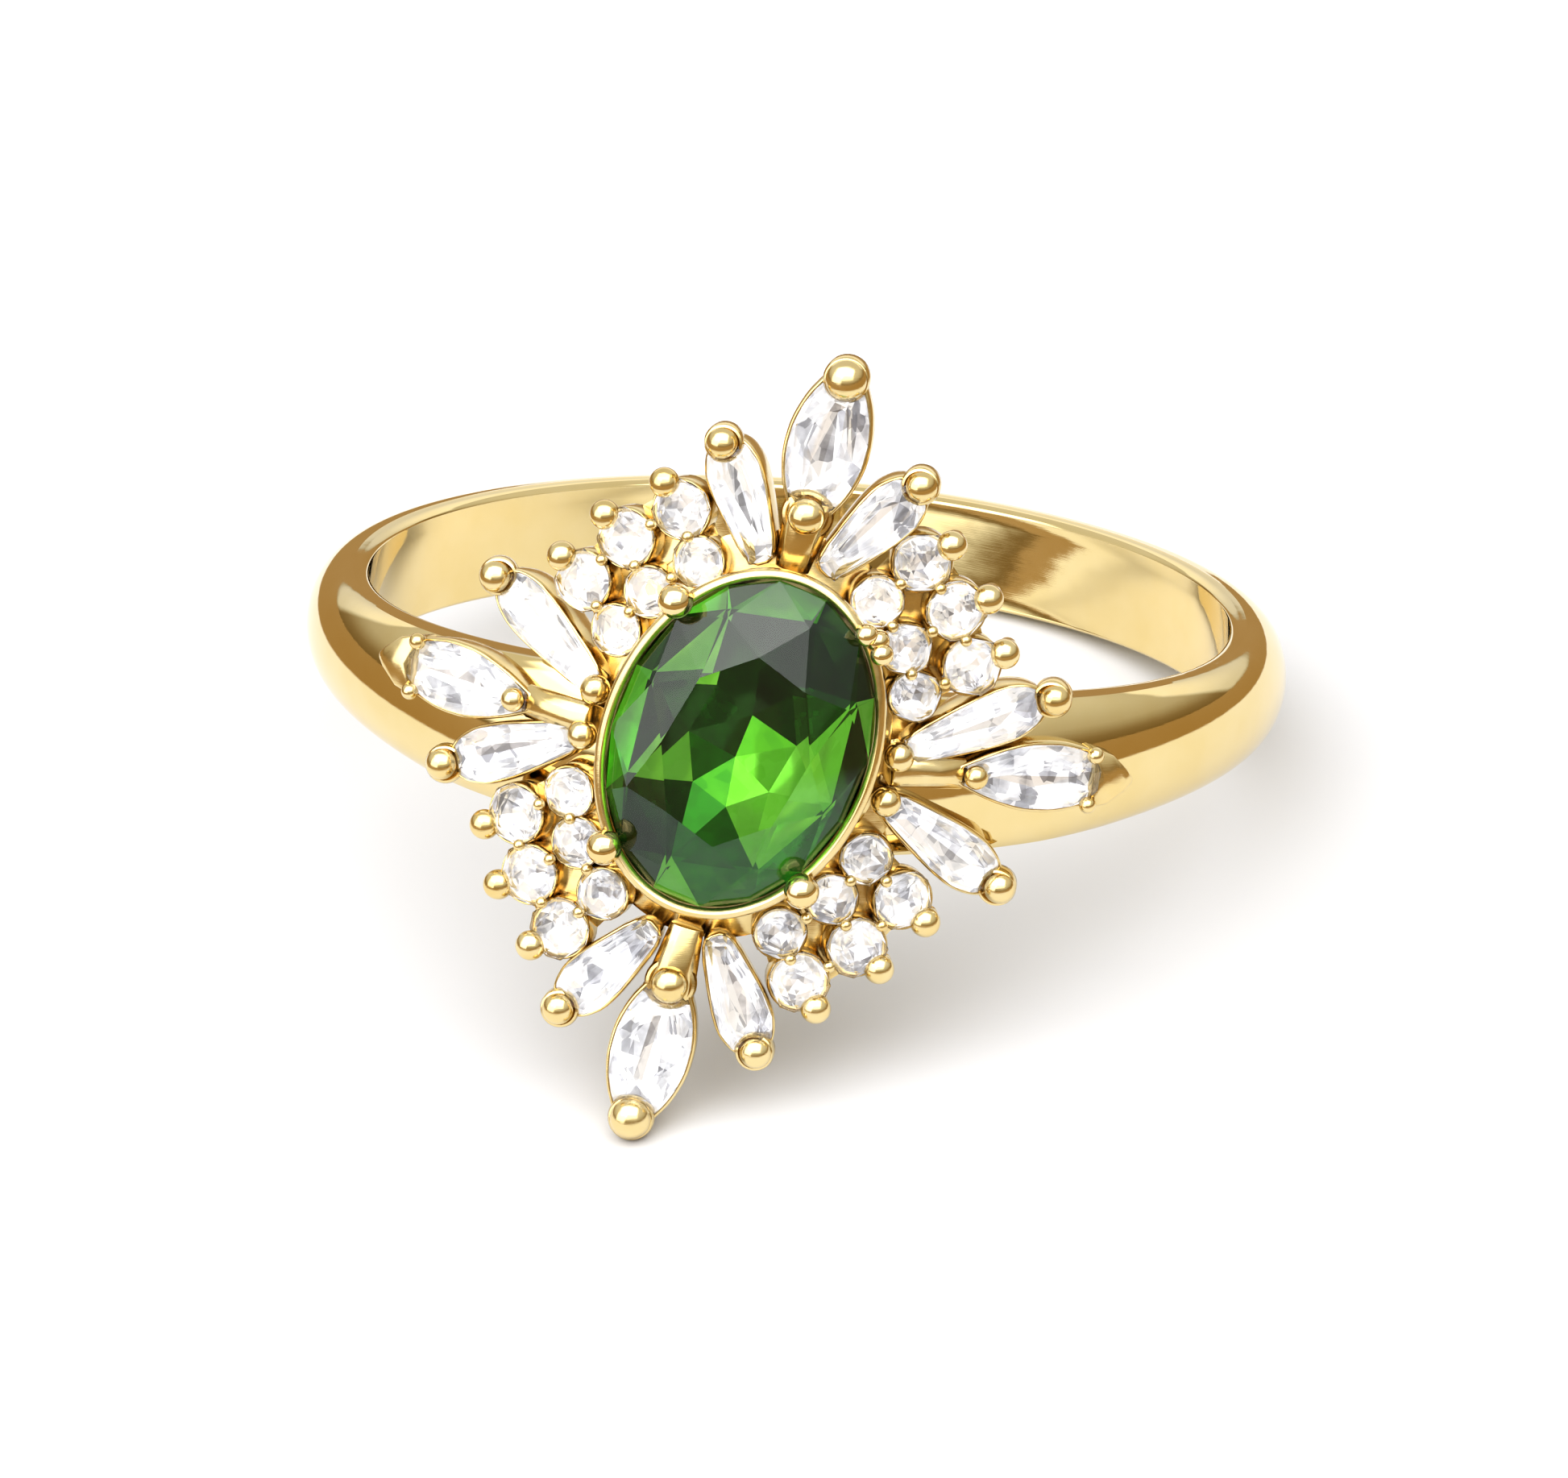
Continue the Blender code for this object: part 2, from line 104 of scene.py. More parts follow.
BAGUETTE_BEAD = 0.86 * MEDIUM_BEAD
CENTRE_BEAD = 0.35
SPLIT_BEAD = 0.23  # the north-east claw of the centre stone is three of these
ARM_BEAD = 0.24  # the inner claw of the east and west arms
PRONG_BEAD = 0.17
GRAIN_BEAD = 0.12  # between two round stones
CUP_RISE = 0.14  # how far an outer claw's foot stands up round its bead
ARM_STRETCH = 1.28  # how much longer the inner half of the east and west stones is
CENTRE_CUT = (3.39, 2.48)
CENTRE_CROWN = 0.72
CENTRE_PAVILION = 1.5
OVAL_SIDES = 120
STONE_TILT = 2.0  # the most that a stone sits askew, in degrees
ROUND_TILT = 3.0
# painted facet light: the mean painted light of the stones' facets below the girdle, where 1 is lightest
FACET_PAINTED_LIGHT = 0.72  # the mean tone of the facets, where 1 is lightest
ROUND_PAINTED_LIGHT = 0.7
# painted light: the north-west stones are painted lightest, for the bright light they mirror
NW_BAGUETTE_PAINTED_LIGHT = 0.9  # the north-west of the head is the lightest
NW_ROUND_PAINTED_LIGHT = 0.85
# painted reflection: the distance from the table's middle beyond which mirrored rays see the table
# painted dark brown
DARK_REFLECTION_RADIUS = 0.027  # in metres

QUADRANTS = {"ne": (1, 1), "nw": (-1, 1), "sw": (-1, -1), "se": (1, -1)}
BAGUETTE_NAMES = {
    "ne": ("nne", "ene"),
    "nw": ("nnw", "wnw"),
    "sw": ("ssw", "wsw"),
    "se": ("sse", "ese"),
}

# --- where the ring lies ---------------------------------------------------------------------

LEAN_BACK = math.radians(16.83)
LEAN_SIDE = math.radians(6.1)
TURN = Matrix.Rotation(LEAN_SIDE, 4, "Y") @ Matrix.Rotation(math.radians(90) - LEAN_BACK, 4, "X")


def ring_middle():
    """The middle of the bore, from the CAD band: it is symmetric in x and y about it."""
    back = TURN.inverted()
    points = [back @ v.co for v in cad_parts["shank"].data.vertices]
    low = Vector(min(p[i] for p in points) for i in range(3))
    high = Vector(max(p[i] for p in points) for i in range(3))
    return Vector(((low.x + high.x) / 2, (low.y + high.y) / 2, low.z + BAND_R * MM))


RING = TURN @ Matrix.Translation(ring_middle())

# --- places on the head ----------------------------------------------------------------------

HEAD = Matrix.Translation((0, HEAD_NORTH, HEAD_Z)) @ Matrix.Rotation(HEAD_TIP, 4, "X")


def twisted(u, v):
    x = u * math.cos(EW_TWIST) + v * math.sin(NS_TWIST)
    y = v * math.cos(NS_TWIST) - u * math.sin(EW_TWIST)
    return x, y


def head_point(u, v):
    x, y = twisted(u, v)
    return HEAD @ Vector((x, y, -HEAD_DROOP * u * u))


def head_normal(u):
    slope = 2 * HEAD_DROOP * u
    normal = Vector((slope * math.cos(EW_TWIST), -slope * math.sin(EW_TWIST), 1)).normalized()
    return HEAD.to_3x3() @ normal


def frame_of(origin, along, up):
    along = along.normalized()
    across = up.cross(along).normalized()
    up = along.cross(across)
    place = Matrix((along, across, up)).transposed().to_4x4()
    place.translation = origin
    return place


def head_frame(inner, outer):
    start, end = head_point(*inner), head_point(*outer)
    return frame_of((start + end) / 2, end - start, head_normal((inner[0] + outer[0]) / 2))


def spot_frame(u, v):
    return head_frame((u - 0.01, v), (u + 0.01, v))


OVAL_UPRIGHT = HEAD @ Matrix.Translation(OVAL_PLACE)
OVAL_FRAME = OVAL_UPRIGHT @ Matrix.Rotation(math.radians(90) - OVAL_TURN, 4, "Z")

# --- outlines, as lists of (x, y) ------------------------------------------------------------


def ellipse(half_x, half_y, count, phase=0.0):
    turns = [2 * math.pi * (i + phase) / count for i in range(count)]
    return [(half_x * math.cos(a), half_y * math.sin(a)) for a in turns]


def marquise(length, width, grow=0.0, steps=7):
    half, bow, blunt = length / 2 + grow, width / 2 + grow, 0.42
    side = []
    for i in range(steps + 1):
        x = -math.cos(math.pi * i / steps)
        side.append((half * x, bow * (blunt + (1 - blunt) * (1 - abs(x) ** 2.2))))
    return side + [(x, -y) for x, y in reversed(side)]


def arm_marquise(length, width, grow=0.0, steps=7):
    """The east and west stones: the half towards the centre is drawn out and narrower."""
    drawn = []
    for x, y in marquise(length, width, grow, steps):
        inner = min(0.0, x / (0.5 * length))
        drawn.append((x * ARM_STRETCH if x < 0 else x, y * (1 - 0.4 * inner * inner)))
    return drawn


def baguette(length, width, grow=0.0):
    half = width / 2
    side = (
        (-0.5 * length - grow, 0.48 * half + grow),
        (0.05 * length, 0.95 * half + grow),
        (0.27 * length, half + grow),
        (0.42 * length, 0.78 * half + grow),
        (0.5 * length + grow, 0.4 * half + grow),
    )
    return list(side) + [(x, -y) for x, y in reversed(side)]


def rounded(outline, rounds=2):
    """The outline with its corners cut again and again, until they are round."""
    for _ in range(rounds):
        cut = []
        for (ax, ay), (bx, by) in zip(outline, outline[1:] + outline[:1]):
            cut.append((0.78 * ax + 0.22 * bx, 0.78 * ay + 0.22 * by))
            cut.append((0.22 * ax + 0.78 * bx, 0.22 * ay + 0.78 * by))
        outline = cut
    return outline


def at_height(outline, z, scale=1.0):
    return [Vector((scale * x, scale * y, z)) for x, y in outline]


# --- solids ----------------------------------------------------------------------------------


def hull(points):
    bm = bmesh.new()
    for point in points:
        bm.verts.new(point)
    found = bmesh.ops.convex_hull(bm, input=bm.verts)
    loose = {v for v in found["geom_interior"] if isinstance(v, bmesh.types.BMVert)}
    bmesh.ops.delete(bm, geom=list(loose), context="VERTS")
    bmesh.ops.recalc_face_normals(bm, faces=bm.faces)
    return bm


def swept(sections):
    """A closed tube through sections, each a list of points, which comes back to the first."""
    bm = bmesh.new()
    loops = [[bm.verts.new(p) for p in section] for section in sections]
    count = len(loops[0])
    for one, two in zip(loops, loops[1:] + loops[:1]):
        for j in range(count):
            k = (j + 1) % count
            bm.faces.new((one[j], one[k], two[k], two[j]))
    bmesh.ops.recalc_face_normals(bm, faces=bm.faces)
    return bm


def turned(profile, place, sides=28):
    """A profile of (radius, z) from top to bottom, turned about z; both ends are on the axis."""
    bm = bmesh.new()
    top = bm.verts.new((0, 0, profile[0][1]))
    bottom = bm.verts.new((0, 0, profile[-1][1]))
    loops = []
    for radius, z in profile[1:-1]:
        loops.append([bm.verts.new((x, y, z)) for x, y in ellipse(radius, radius, sides)])
    for j in range(sides):
        k = (j + 1) % sides
        bm.faces.new((top, loops[0][j], loops[0][k]))
        bm.faces.new((bottom, loops[-1][k], loops[-1][j]))
        for one, two in zip(loops, loops[1:]):
            bm.faces.new((one[j], two[j], two[k], one[k]))
    bmesh.ops.recalc_face_normals(bm, faces=bm.faces)
    bm.transform(place)
    return bm


def join(solids):
    joined = bmesh.new()
    for bm in solids:
        mesh = bpy.data.meshes.new("step")
        bm.to_mesh(mesh)
        joined.from_mesh(mesh)
        bm.free()
        bpy.data.meshes.remove(mesh)
    return joined


def softened(bm, width, segments=3, angle=25):
    """Bevels the sharp edges of a solid."""
    sharp = [e for e in bm.edges if e.is_manifold and e.calc_face_angle() > math.radians(angle)]
    bmesh.ops.bevel(
        bm, geom=sharp, offset=width, segments=segments, profile=0.5, affect="EDGES", clamp_overlap=True
    )
    return bm


def show(name, bm, materials, node, smooth=True, crease=42):
    """A piece of the ring: it rides with it, and stands for its CAD node."""
    bm.transform(Matrix.Scale(MM, 4))
    mesh = bpy.data.meshes.new(name)
    bm.to_mesh(mesh)
    bm.free()
    if smooth:
        mesh.shade_smooth()
        mesh.set_sharp_from_angle(angle=math.radians(crease))
    for material in materials:
        mesh.materials.append(material)
    obj = bpy.data.objects.new(name, mesh)
    bpy.context.scene.collection.objects.link(obj)
    obj.matrix_world = RING
    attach(obj, "root")
    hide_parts(node)


# --- materials -------------------------------------------------------------------------------


class Nodes:
    """Builds a material's or world's node tree a line at a time."""

    def __init__(self, tree):
        self.tree = tree

    def add(self, kind, inputs=None, **settings):
        node = self.tree.nodes.new(kind)
        for key, value in settings.items():
            setattr(node, key, value)
        for key, value in (inputs or {}).items():
            if isinstance(value, bpy.types.NodeSocket):
                self.tree.links.new(value, node.inputs[key])
            else:
                node.inputs[key].default_value = value
        return node

    def math(self, operation, *values):
        node = self.add("ShaderNodeMath", operation=operation)
        for i, value in enumerate(values):
            if isinstance(value, bpy.types.NodeSocket):
                self.tree.links.new(value, node.inputs[i])
            else:
                node.inputs[i].default_value = value
        return node.outputs[0]

    def in_mm(self):
        """The place on the object, in millimetres, for the textures to read."""
        place = self.add("ShaderNodeTexCoord").outputs["Object"]
        scaled = self.add("ShaderNodeMapping", {"Vector": place, "Scale": (1000, 1000, 1000)})
        return scaled.outputs["Vector"]

    def noise(self, place, scale, detail):
        node = self.add("ShaderNodeTexNoise", {"Vector": place, "Scale": scale, "Detail": detail})
        return node.outputs["Fac"]

    def ramp(self, factor, stops):
        node = self.add("ShaderNodeValToRGB", {"Fac": factor})
        elements = node.color_ramp.elements
        while len(elements) < len(stops):
            elements.new(0.5)
        for element, (place, colour) in zip(elements, stops):
            element.position = place
            element.color = (*colour, 1.0)
        return node.outputs["Color"]


def new_material(name):
    material = bpy.data.materials.new(name)
    material.use_nodes = True
    nodes = Nodes(material.node_tree)
    return material, nodes, material.node_tree.nodes["Principled BSDF"]


def gold(name, colour, deep, rough, scratch, polish, painted_crevice_shade=None):
    """Polished gold: a faint change of colour, hairlines, small unevenness, and painted shade that
    darkens its crevices.
    """
    material, nodes, shader = new_material(name)
    links = material.node_tree.links
    in_mm = nodes.in_mm()
    tone = nodes.ramp(nodes.noise(in_mm, 0.9, 3.0), ((0.3, deep), (0.62, colour)))
    if painted_crevice_shade:
        # painted shade: ambient occlusion darkens the gold's colour towards the given dark colour in
        # crevices and between close parts
        nearby = nodes.add("ShaderNodeAmbientOcclusion", {"Distance": 0.0003}, samples=6)
        crevice_shade_mask = nodes.math("POWER", nearby.outputs["AO"], 0.9)
        blend = nodes.add("ShaderNodeMix", {"Factor": crevice_shade_mask, "B": tone}, data_type="RGBA")
        blend.inputs["A"].default_value = (*painted_crevice_shade, 1.0)
        tone = blend.outputs["Result"]
    links.new(tone, shader.inputs["Base Color"])
    shader.inputs["Metallic"].default_value = 1.0
    grain = nodes.noise(in_mm, 6.0, 6.0)
    spread = nodes.add(
        "ShaderNodeMapRange",
        {"Value": grain, "From Min": 0.3, "From Max": 0.75, "To Min": rough[0], "To Max": rough[1]},
    )
    links.new(spread.outputs["Result"], shader.inputs["Roughness"])
    drawn = nodes.add(
        "ShaderNodeMapping", {"Vector": in_mm, "Scale": (1.2, 34, 1.2), "Rotation": (0.1, 0, 0.2)}
    )
    hairlines = nodes.noise(drawn.outputs["Vector"], 1.6, 5.0)
    fine = nodes.add("ShaderNodeBump", {"Strength": scratch, "Distance": 0.000004, "Height": hairlines})
    dents = nodes.noise(in_mm, 1.7, 1.5)
    uneven = nodes.add(
        "ShaderNodeBump",
        {"Strength": polish, "Distance": 0.00006, "Height": dents, "Normal": fine.outputs["Normal"]},
    )
    links.new(uneven.outputs["Normal"], shader.inputs["Normal"])
    return material


def stone(name, colour, tint, ior):
    """A clear cut stone, with a faint cloud in its colour."""
    material, nodes, shader = new_material(name)
    cloud = nodes.noise(nodes.in_mm(), 0.8, 4.0)
    tone = nodes.ramp(cloud, ((0.35, tint), (0.65, colour)))
    material.node_tree.links.new(tone, shader.inputs["Base Color"])
    shader.inputs["Roughness"].default_value = 0.0
    shader.inputs["Transmission Weight"].default_value = 1.0
    shader.inputs["IOR"].default_value = ior
    return material


def painted_light_backing(name, tones, glow, metal, drift):
    """Painted light in a cut stone: each facet below the girdle gets painted light or shade of its own,
    mirrors it, and glows with it though the stone is no lamp.
    """
    material, nodes, shader = new_material(name)
    in_mm = nodes.in_mm()
    cloud = nodes.noise(in_mm, 3.2, 3.0)
    # the painted light or shade of each facet, from its tone attribute
    own = nodes.add("ShaderNodeAttribute", attribute_name="tone").outputs["Fac"]
    shards = nodes.add("ShaderNodeTexVoronoi", {"Vector": in_mm, "Scale": 3.4})
    shard = nodes.add("ShaderNodeSeparateColor", {"Color": shards.outputs["Color"]}).outputs["Red"]
    mixed = nodes.math("ADD", cloud, shard)
    change = nodes.math("MULTIPLY", nodes.math("SUBTRACT", mixed, 1.0), drift)
    tone = nodes.ramp(nodes.math("ADD", own, change), tones)
    material.node_tree.links.new(tone, shader.inputs["Base Color"])
    # the painted facet light also glows as emission, though the stone is no lamp
    material.node_tree.links.new(tone, shader.inputs["Emission Color"])
    shader.inputs["Emission Strength"].default_value = glow
    shader.inputs["Metallic"].default_value = metal
    shader.inputs["Roughness"].default_value = 0.1
    return material


BAND_GOLD = gold("band_gold", (0.81, 0.66, 0.34), (0.79, 0.63, 0.30), (0.03, 0.06), 0.04, 0.03)
# the last colour given to seat_gold and bead_gold is the painted shade in their crevices
SEAT_GOLD = gold(
    "seat_gold", (0.83, 0.68, 0.36), (0.79, 0.60, 0.25), (0.12, 0.22), 0.3, 0.24, (0.50, 0.34, 0.12)
)
BEAD_GOLD = gold(
    "bead_gold", (0.86, 0.70, 0.37), (0.82, 0.63, 0.28), (0.03, 0.07), 0.15, 0.16, (0.34, 0.20, 0.05)
)
# painted light for the clear stones' facets, from grey shade to white highlight
CLEAR_PAINTED_LIGHT = (
    (0.0, (0.26, 0.26, 0.28)),
    (0.3, (0.48, 0.485, 0.52)),
    (0.6, (0.78, 0.79, 0.82)),
    (0.85, (0.99, 0.99, 1.0)),
)
# painted light for the green stone's facets: its own green, painted from dark shade to bright lime
# highlight
GREEN_PAINTED_LIGHT = (
    (0.0, (0.002, 0.012, 0.004)),
    (0.25, (0.006, 0.05, 0.008)),
    (0.5, (0.022, 0.20, 0.02)),
    (0.75, (0.15, 0.50, 0.03)),
    (1.0, (0.34, 0.80, 0.16)),
)
# each stone is glass over a glowing layer of painted facet light
CLEAR = (
    stone("clear_stone", (1, 1, 1), (0.97, 0.975, 1.0), 1.6),
    painted_light_backing("clear_painted_facets", CLEAR_PAINTED_LIGHT, 0.33, 0.5, 0.95),
)
GREEN = (
    stone("green_stone", (0.72, 0.94, 0.49), (0.64, 0.91, 0.42), 1.56),
    painted_light_backing("green_painted_facets", GREEN_PAINTED_LIGHT, 0.17, 0.6, 0.06),
)


def show_gold(node, bm, material=SEAT_GOLD):
    show(f"{node}_fine", bm, [material], node)


def show_clear(node, bm):
    show(f"{node}_cut", bm, CLEAR, node, smooth=False)


# --- stones ----------------------------------------------------------------------------------


def crushed(outline, crown, pavilion, table=(0.6, 0.6), keel=0.0, girdle=0.05, light=0.75):
    """A cut of many small facets on any outline: a table, a crown row, and shards below."""
    points = at_height(outline, girdle / 2) + at_height(outline, -girdle / 2)
    points += [Vector((table[0] * x, table[1] * y, crown)) for x, y in outline[::2]]
    row = (0.5 + 0.5 * table[0], 0.5 + 0.5 * table[1])
    points += [Vector((row[0] * x, row[1] * y, 0.62 * crown)) for x, y in outline[1::2]]
    for scale, depth in ((0.8, 0.4), (0.55, 0.72), (0.3, 0.92)):
        for x, y in outline:
            wide = scale + random.uniform(-0.07, 0.07)
            x = x * (1 - (1 - wide) * (0.55 if keel else 1.0))
            points.append(Vector((x, y * wide, -depth * pavilion * random.uniform(0.94, 1.06))))
    points += [Vector((x, 0, -pavilion)) for x in ((keel, -keel) if keel else (0.0,))]
    return with_painted_facets(hull(points), light)


def mixed_cut(outline, crown, pavilion, table=0.58, girdle=0.06):
    """A large stone with few facets: a wide table, eight crown facets, and broad mains below."""
    points = at_height(outline, girdle / 2) + at_height(outline, -girdle / 2)
    points += at_height(outline[::2], crown, table)
    points += [Vector((0.83 * x, 0.83 * y, 0.56 * crown)) for x, y in outline[1::2]]
    points += at_height(outline[1::2], -0.45 * pavilion, 0.76)
    points += at_height(outline[::2], -0.78 * pavilion, 0.42)
    points += [Vector((0.45, 0, -pavilion)), Vector((-0.45, 0, -pavilion))]
    return hull(points)


def with_painted_facets(bm, light):
    """Gives the faces below the girdle the painted facet light, each face a painted light or shade about
    the mean.
    """
    tone = bm.faces.layers.float.new("tone")
    for face in bm.faces:
        if face.normal.z < -0.05 and face.calc_center_median().z < -0.02:
            face.material_index = 1
            # painted light and shade: a random light or dark value for each facet, about the mean
            face[tone] = min(1.0, max(0.0, random.gauss(light, 0.24)))
    return bm


def placed(bm, place, tilt=0.0):
    """Sets a stone in its place, with a small tilt of its own."""
    if tilt:
        turn = Matrix.Rotation(math.radians(random.uniform(-tilt, tilt)), 4, "X")
        turn = turn @ Matrix.Rotation(math.radians(random.uniform(-tilt, tilt)), 4, "Y")
        place = place @ turn
    bm.transform(place)
    return bm


# --- claws -----------------------------------------------------------------------------------


def bead_profile(bead, post, depth):
    """A round bead on a neck that stands on a straight post."""
    profile = [(0.0, bead)]
    for degrees in range(12, 125, 8):
        a = math.radians(degrees)
        profile.append((bead * math.sin(a), bead * math.cos(a)))
    profile += [(0.78 * bead, -0.7 * bead), (post, -1.05 * bead), (post, -depth), (0.0, -depth)]
    return profile


def head_claw(u, v, bead, depth=SEAT_DEPTH, flat=0.9):
    up = head_normal(u)
    tip = head_point(u, v) + up * BEAD_LIFT
    place = frame_of(tip, Vector((1, 0, 0)), up) @ Matrix.Diagonal((1, 1, flat, 1))
    return turned(bead_profile(bead, 0.62 * bead, depth), place)


# --- band ------------------------------------------------------------------------------------


def band_profile(shoulder):
    """The section as (radius, y), over the half from the bore's middle to the crest.

    Towards the shoulders, where shoulder is 1, the side is taller and meets the dome in a crease.
    """
    half = [(BORE_R, 0.3 * BORE_HALF), (BORE_R, 0.75 * BORE_HALF), (BORE_R + 0.005, BORE_HALF)]
    for i in range(1, 11):
        a = math.pi / 2 * i / 10
        half.append(
            (BORE_R + 0.25 * (1 - math.cos(a)), BORE_HALF + (SIDE_HALF - BORE_HALF) * math.sin(a))
        )
    low = DOME_LOW_R + 0.36 * shoulder
    start = math.radians(26) * shoulder
    half.append((0.5 * (BORE_R + 0.25 + low), SIDE_HALF + 0.012))
    steps = 18
    for i in range(steps + 1):
        a = start + (math.pi / 2 - start) * i / steps
        share = (math.sin(a) - math.sin(start)) / (1 - math.sin(start))
        half.append((low + (BAND_R - low) * share, SIDE_HALF * math.cos(a) / math.cos(start)))
    return half[:-1] + [(BAND_R, 0.0)] + [(r, -y) for r, y in reversed(half[:-1])]


def band():
    steps = 300
    bm = bmesh.new()
    sections = []
    for i in range(steps + 1):
        angle = BAND_END + (2 * math.pi - 2 * BAND_END) * i / steps
        front = max(0.0, math.cos(angle))
        profile = band_profile(min(1.0, 1.6 * front * front))
        wide = 1 + SHOULDER_GROWTH * front * front
        points = [(r * math.sin(angle), wide * y, r * math.cos(angle)) for r, y in profile]
        sections.append([bm.verts.new(p) for p in points])
    count = len(profile)
    for one, two in zip(sections, sections[1:]):
        for j in range(count):
            k = (j + 1) % count
            bm.faces.new((one[j], one[k], two[k], two[j]))
    bm.faces.new(sections[0])
    bm.faces.new(sections[-1])
    bmesh.ops.recalc_face_normals(bm, faces=bm.faces)
    return bm


show("band_fine", band(), [BAND_GOLD], "shank", crease=14)

# --- gallery, collet, centre stone and its claws ---------------------------------------------


def gallery():
    """The oval ring under the collet, cut to the bore below."""
    top = -COLLET_DEPTH - 0.02
    sides = 96
    sections = []
    for (ox, oy), (hx, hy) in zip(ellipse(*GALLERY_HALF, sides), ellipse(*GALLERY_HOLE, sides)):
        section = []
        for share, down in ((0.06, 0.0), (0.94, 0.0), (1.0, 0.06), (1.0, 1.0), (0.94, 1.0), (0.06, 1.0)):
            x, y = hx + (ox - hx) * share, hy + (oy - hy) * share
            high = OVAL_FRAME @ Vector((x, y, top - (0.06 if down == 0.06 else 0.0)))
            if down == 1.0:
                high.z = math.sqrt(BORE_R**2 - high.x**2) + (0.05 if share == 1.0 else 0.0)
            section.append(high)
        low = OVAL_FRAME @ Vector((hx, hy, top - 0.06))
        floor = Vector((low.x, low.y, math.sqrt(BORE_R**2 - low.x**2) + 0.05))
        sections.append(section + [floor, low])
    return swept(sections)


def oval_loop(grow, z):
    """The centre stone's outline, larger by grow and at height z on its girdle's plane."""
    outline = ellipse(OVAL_HALF[0] + grow, OVAL_HALF[1] + grow, OVAL_SIDES)
    return [OVAL_FRAME @ p for p in at_height(outline, z)]


def oval_wall():
    """The collet: a lip just over the girdle, a wall that flares up, and the seat inside."""
    section = (
        (0.005, -0.06), (0.0, 0.05), (0.03, 0.12), (0.09, 0.15), (0.16, 0.13), (0.21, 0.07),
        (0.22, -0.02), (0.17, -0.2), (0.04, -0.45), (-0.14, -0.7), (-0.28, -0.88), (-0.42, -1.0),
        (-0.7, -1.0), (-0.75, -0.98), (-0.75, -0.93), (-0.4, -0.56), (-0.04, -0.12),
    )
    return swept([oval_loop(grow, z) for grow, z in section])


def skirt():
    """The apron of gold round the collet, which the seats grow out of and which droops with them."""
    section = ((-0.1, -0.7), (0.1, -0.76), (0.7, -0.79), (0.8, -0.84), (0.75, -0.94), (-0.1, -0.97))
    loops = []
    for grow, z in section:
        loops.append([p - Vector((0, 0, HEAD_DROOP * p.x * p.x)) for p in oval_loop(grow, z)])
    return swept(loops)


show_gold("gallery", gallery())
show_gold("centre_collet", join([oval_wall(), skirt()]))


def centre_painted_light(bm):
    """Painted light and shade on the centre stone's facets, set by their bearing from its east."""
    # painted light and shade for each 30-degree bearing, the upper facets and then the mains
    upper = (0.06, 0.12, 0.62, 0.10, 0.14, 0.80, 0.74, 0.22, 0.55, 0.48, 0.10, 0.04)
    lower = (0.26, 0.14, 0.17, 0.20, 0.22, 0.26, 0.30, 0.30, 0.52, 0.78, 0.84, 0.58)
    tone = bm.faces.layers.float.new("tone")
    to_upright = Matrix.Rotation(math.radians(90) - OVAL_TURN, 4, "Z")
    for face in bm.faces:
        middle = face.calc_center_median()
        if face.normal.z < -0.05 and middle.z < -0.02:
            face.material_index = 1
            seen = to_upright @ middle
            bearing = math.degrees(math.atan2(seen.y, seen.x)) % 360
            mains = middle.z < -0.62
            own = (lower if mains else upper)[int(bearing / 30) % 12] + random.gauss(0, 0.07)
            # a few facets get a painted glint
            face[tone] = 0.95 if random.random() < 0.07 else own
    return bm


centre = centre_painted_light(mixed_cut(ellipse(*CENTRE_CUT, 16, 0.5), CENTRE_CROWN, CENTRE_PAVILION))
show("centre_stone_cut", placed(centre, OVAL_FRAME), GREEN, "centre_stone", smooth=False)

for quadrant, (su, sv) in QUADRANTS.items():
    x, y = twisted(su * CENTRE_CLAW[0], sv * CENTRE_CLAW[1])
    tip = OVAL_UPRIGHT @ Vector((x, y, 0.2))
    foot = OVAL_UPRIGHT @ Vector((0.86 * x, 0.86 * y, -0.9))
    place = frame_of(tip, OVAL_UPRIGHT.to_3x3() @ Vector((-y, x, 0)), tip - foot)
    if quadrant == "ne":
        arms = []
        for spread in ((-0.24, 0.0, 0.02), (0.24, 0.0, 0.02), (0.0, -0.12, -0.06)):
            arm = place @ Matrix.Translation(spread)
            arms.append(turned(bead_profile(SPLIT_BEAD, 0.14, 1.0), arm, 20))
        claw = join(arms)
    else:
        claw = turned(bead_profile(CENTRE_BEAD, 0.17, 1.0), place)
    show_gold(f"centre_claw_{quadrant}", claw, BEAD_GOLD)

# --- marquise stones and their seats ---------------------------------------------------------

RIM_SECTION = (
    (-0.01, -0.12), (0.0, -0.02), (0.012, 0.005), (0.035, 0.01), (0.06, 0.0), (0.08, -0.03),
    (0.09, -0.1), (0.09, -0.3), (0.04, -0.6), (-0.06, -0.85), (-0.24, -0.85), (-0.26, -0.6),
    (-0.2, -0.3), (-0.12, -0.2),
)


def rim(outline_at, place, section=RIM_SECTION, rounds=2):
    """A wall around a stone: the section runs round the stone's outline."""
    loops = []
    for grow, z in section:
        loops.append([place @ p for p in at_height(rounded(outline_at(grow), rounds), z)])
    return swept(loops)


def leaf(place, start, end, wide, narrow, high=0.0, deep=0.8):
    """The tongue of gold from a seat's inner tip to the collet, wide at the stone."""
    points = []
    middle = 0.6 * start + 0.4 * end
    stations = ((start, wide, high), (middle, 0.7 * wide, high + 0.05), (end, narrow, high - 0.08))
    for x, half, top in stations:
        for share, drop in ((1.0, 0.16), (0.75, 0.05), (0.35, 0.0)):
            points += [Vector((x, half * share, top - drop)), Vector((x, -half * share, top - drop))]
        points += [Vector((x, 0.5 * half, -deep)), Vector((x, -0.5 * half, -deep))]
    return placed(softened(hull(points), 0.03, 2), place)


